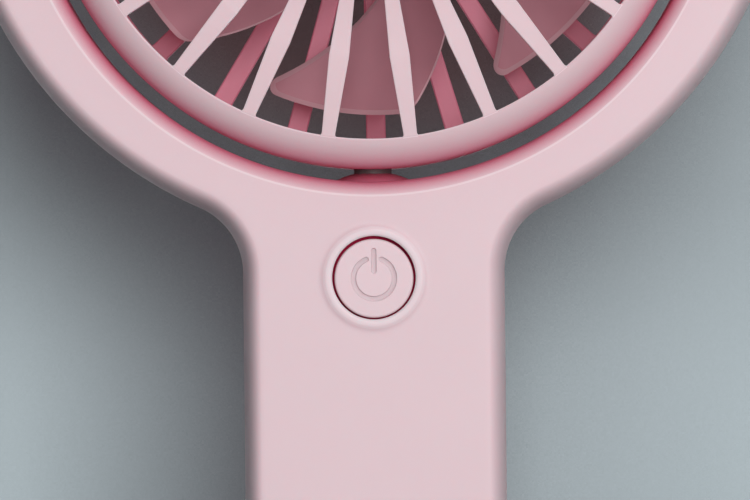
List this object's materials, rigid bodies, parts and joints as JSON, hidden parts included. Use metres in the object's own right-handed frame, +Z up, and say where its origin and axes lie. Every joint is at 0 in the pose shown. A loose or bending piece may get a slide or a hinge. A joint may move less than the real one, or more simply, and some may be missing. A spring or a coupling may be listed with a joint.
{
  "type": "handheld electric fan",
  "caption": "Handheld electric fan: a round fan head that swivels inside a ring, on a flat handle with a round power button.",
  "frame": {"origin": "centre of the handle's flat base, at its lowest level", "axes": "+Z up the handle towards the head, +X to the right seen from the front, the fan blows towards -Y"},
  "size_m": [0.112, 0.0316, 0.2144],
  "materials": {
    "shell": "satin",
    "button": "satin",
    "head_plastic": "satin",
    "cap": "gloss",
    "bush": "satin",
    "smoked_plastic": "frosted",
    "black_plastic": "satin",
    "board": "gloss",
    "chips": "matte",
    "socket_steel": "satin",
    "light_pipe": "clear",
    "battery_foil": "satin",
    "foam": "matte",
    "lead_jacket": "satin",
    "screw_steel": "satin",
    "plug_rubber": "matte",
    "spring_steel": "satin",
    "spindle_steel": "polished",
    "clip_steel": "black oxide",
    "tube_brass": "satin",
    "bearing_steel": "polished",
    "stator_iron": "varnished",
    "copper_wire": "enamelled",
    "yoke_steel": "satin",
    "magnet": "matte"
  },
  "bodies": {
    "handle": {"front_shell": "shell", "rear_shell": "shell", "front_grip": "shell", "rear_grip": "shell", "tact_switch": "black_plastic", "control_board": "board", "board_components": "chips", "charge_board": "board", "usb_socket": "socket_steel", "usb_tongue": "black_plastic", "charge_light": "light_pipe", "battery": "battery_foil", "battery_board": "board", "battery_pad": "foam", "battery_leads": "lead_jacket", "charge_leads": "lead_jacket", "motor_leads_handle": "lead_jacket", "shell_screws": "screw_steel", "screw_plugs": "plug_rubber", "lower_bush": "bush", "upper_bush": "bush", "lower_wave_washer": "spring_steel", "upper_wave_washer": "spring_steel"},
    "head": {"front_rim": "head_plastic", "front_grille": "head_plastic", "rear_rim": "head_plastic", "rear_grille": "head_plastic", "grille_cap": "cap", "lower_spindle": "spindle_steel", "upper_spindle": "spindle_steel", "stop_plate": "spring_steel", "spindle_clips": "clip_steel", "motor_board": "board", "bearing_tube": "tube_brass", "bearing_outer_rings": "bearing_steel", "bearing_balls": "bearing_steel", "stator_core": "stator_iron", "stator_windings": "copper_wire", "motor_leads_head": "lead_jacket", "lead_cover": "head_plastic"},
    "rotor": {"impeller_hub": "smoked_plastic", "impeller_blades": "smoked_plastic", "rotor_yoke": "yoke_steel", "magnet_ring": "magnet", "motor_shaft": "spindle_steel", "bearing_inner_rings": "bearing_steel", "shaft_clip": "clip_steel"},
    "button": {"power_button": "button", "switch_plunger": "black_plastic"}
  },
  "joints": [
    {"name": "head_swivel", "type": "hinge", "parent": "handle", "child": "head", "pos_m": [0, 0, 0.156], "axis": [0, 0, 1], "range_deg": [-155, 155]},
    {"name": "rotor_spin", "type": "hinge", "parent": "head", "child": "rotor", "pos_m": [0, 0, 0.156], "axis": [0, 1, 0], "continuous": true},
    {"name": "button_press", "type": "slide", "parent": "handle", "child": "button", "axis": [0, 1, 0], "range_m": [0, 0.0005], "stiffness_N_per_m": 3000}
  ]
}
